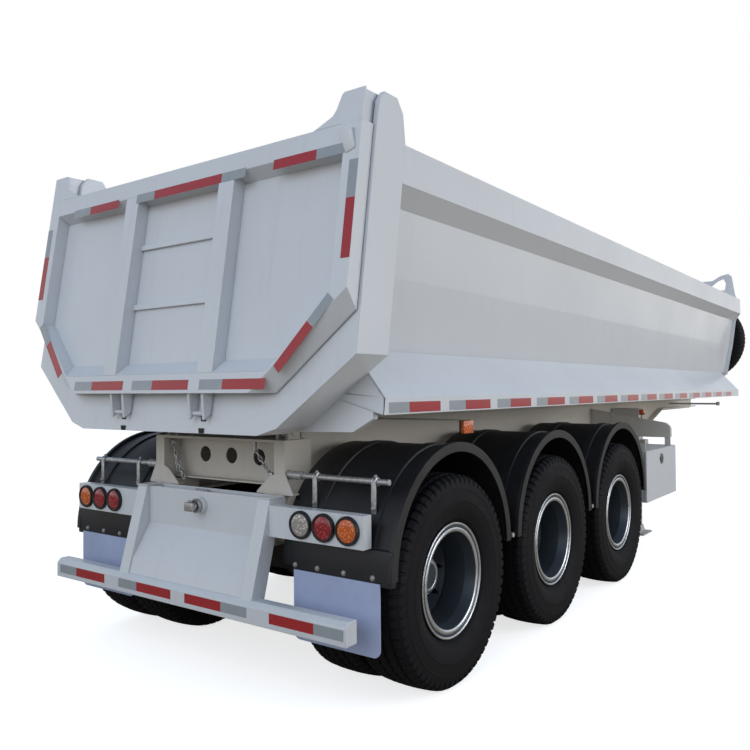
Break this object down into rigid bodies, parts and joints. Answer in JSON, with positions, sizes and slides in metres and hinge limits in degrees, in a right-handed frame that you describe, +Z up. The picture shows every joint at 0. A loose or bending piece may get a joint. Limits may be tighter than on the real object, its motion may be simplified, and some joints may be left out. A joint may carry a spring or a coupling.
{
  "type": "rear-dump tipper semi-trailer",
  "caption": "White rear-dump tipper semi-trailer with a hollow bed, top-hung tailgate, twin-tyred axles, front telescopic hoist and landing legs.",
  "frame": {"origin": "on the floor, under the middle of the trailer's length and width", "axes": "+X forward towards the kingpin, +Y to the trailer's left, +Z up"},
  "size_m": [9.1, 2.5, 3.065],
  "materials": {
    "bed_steel": "satin",
    "black_plastic": "satin",
    "chassis_paint": "satin",
    "dark_steel": "matte",
    "flap_sheet": "satin",
    "galvanised": "satin",
    "hoist_chrome": "gloss",
    "hoist_paint": "satin",
    "lamp_amber": "gloss",
    "lamp_red": "gloss",
    "leg_paint": "satin",
    "rim_silver": "satin",
    "tank_paint": "satin",
    "tyre_rubber": "matte",
    "white_paint": "gloss"
  },
  "bodies": {
    "chassis": {"air_tanks": "tank_paint", "axles": "dark_steel", "bumper_beam": "white_paint", "bumper_frame": "white_paint", "cross_members": "chassis_paint", "guard_stays": "galvanised", "hoist_cradle": "chassis_paint", "lamp_bars": "white_paint", "lamps": "lamp_red", "landing_legs": "leg_paint", "leaf_springs": "dark_steel", "leg_shaft": "leg_paint", "main_beams": "chassis_paint", "mudflaps": "flap_sheet", "mudguards": "black_plastic", "side_markers": "lamp_amber", "skid_plate": "chassis_paint", "spring_hangers": "chassis_paint", "tail_beam": "chassis_paint", "tool_box": "white_paint"},
    "bed": {"bed_floor": "bed_steel", "bed_side_left": "white_paint", "bed_side_right": "white_paint", "front_wall": "white_paint", "hoist_bracket": "white_paint", "rear_frame": "white_paint", "side_skirts": "white_paint", "spare_carrier": "white_paint", "spare_rim": "rim_silver", "spare_tyre": "tyre_rubber", "top_rails": "white_paint", "underframe": "white_paint"},
    "tailgate": {"tailgate_frame": "white_paint", "tailgate_latches": "white_paint", "tailgate_panel": "white_paint"},
    "tool_box_door": {"tool_box_door": "white_paint"},
    "hoist_barrel": {"hoist_barrel": "hoist_paint"},
    "hoist_stage_1": {"hoist_stage_1": "hoist_chrome"},
    "hoist_stage_2": {"hoist_stage_2": "hoist_chrome"},
    "hoist_stage_3": {"hoist_stage_3": "hoist_chrome"},
    "hoist_stage_4": {"hoist_stage_4": "hoist_chrome"},
    "hoist_stage_5": {"hoist_stage_5": "hoist_chrome"},
    "wheel_left_1": {"rims_left_1": "rim_silver", "tyres_left_1": "tyre_rubber"},
    "wheel_left_2": {"rims_left_2": "rim_silver", "tyres_left_2": "tyre_rubber"},
    "wheel_left_3": {"rims_left_3": "rim_silver", "tyres_left_3": "tyre_rubber"},
    "wheel_right_1": {"rims_right_1": "rim_silver", "tyres_right_1": "tyre_rubber"},
    "wheel_right_2": {"rims_right_2": "rim_silver", "tyres_right_2": "tyre_rubber"},
    "wheel_right_3": {"rims_right_3": "rim_silver", "tyres_right_3": "tyre_rubber"}
  },
  "joints": [
    {"name": "bed_tip", "type": "hinge", "parent": "chassis", "child": "bed", "pos_m": [-4.005, 0, 1.34], "axis": [0, -1, 0], "range_deg": [0, 42]},
    {"name": "tailgate_swing", "type": "hinge", "parent": "bed", "child": "tailgate", "pos_m": [-4.175, 0, 2.865], "axis": [0, 1, 0], "range_deg": [0, 75]},
    {"name": "tool_box_lid", "type": "hinge", "parent": "chassis", "child": "tool_box_door", "pos_m": [0.165, -1.25, 0.548], "axis": [1, 0, 0], "range_deg": [0, 110]},
    {"name": "wheel_left_1_spin", "type": "hinge", "parent": "chassis", "child": "wheel_left_1", "pos_m": [-0.955, 0.9175, 0.555], "axis": [0, 1, 0], "continuous": true},
    {"name": "wheel_left_2_spin", "type": "hinge", "parent": "chassis", "child": "wheel_left_2", "pos_m": [-2.265, 0.9175, 0.555], "axis": [0, 1, 0], "continuous": true},
    {"name": "wheel_left_3_spin", "type": "hinge", "parent": "chassis", "child": "wheel_left_3", "pos_m": [-3.575, 0.9175, 0.555], "axis": [0, 1, 0], "continuous": true},
    {"name": "wheel_right_1_spin", "type": "hinge", "parent": "chassis", "child": "wheel_right_1", "pos_m": [-0.955, -0.9175, 0.555], "axis": [0, 1, 0], "continuous": true},
    {"name": "wheel_right_2_spin", "type": "hinge", "parent": "chassis", "child": "wheel_right_2", "pos_m": [-2.265, -0.9175, 0.555], "axis": [0, 1, 0], "continuous": true},
    {"name": "wheel_right_3_spin", "type": "hinge", "parent": "chassis", "child": "wheel_right_3", "pos_m": [-3.575, -0.9175, 0.555], "axis": [0, 1, 0], "continuous": true},
    {"name": "hoist_lean", "type": "hinge", "parent": "chassis", "child": "hoist_barrel", "pos_m": [4.42, 0, 1.5], "axis": [0, -1, 0], "range_deg": [-0.5, 26.4]},
    {"name": "hoist_extend_1", "type": "slide", "parent": "hoist_barrel", "child": "hoist_stage_1", "axis": [0, 0, 1], "range_m": [-0.002, 1.204]},
    {"name": "hoist_extend_2", "type": "slide", "parent": "hoist_stage_1", "child": "hoist_stage_2", "axis": [0, 0, 1], "range_m": [-0.002, 1.204]},
    {"name": "hoist_extend_3", "type": "slide", "parent": "hoist_stage_2", "child": "hoist_stage_3", "axis": [0, 0, 1], "range_m": [-0.002, 1.204]},
    {"name": "hoist_extend_4", "type": "slide", "parent": "hoist_stage_3", "child": "hoist_stage_4", "axis": [0, 0, 1], "range_m": [-0.002, 1.204]},
    {"name": "hoist_extend_5", "type": "slide", "parent": "hoist_stage_4", "child": "hoist_stage_5", "axis": [0, 0, 1], "range_m": [-0.002, 1.204]}
  ],
  "couplings": [
    {"joint": "hoist_lean", "follows": "bed_tip", "ratio": 0.61677},
    {"joint": "hoist_extend_1", "follows": "bed_tip", "m_per_rad": 1.6287},
    {"joint": "hoist_extend_2", "follows": "bed_tip", "m_per_rad": 1.6287},
    {"joint": "hoist_extend_3", "follows": "bed_tip", "m_per_rad": 1.6287},
    {"joint": "hoist_extend_4", "follows": "bed_tip", "m_per_rad": 1.6287},
    {"joint": "hoist_extend_5", "follows": "bed_tip", "m_per_rad": 1.6287}
  ]
}
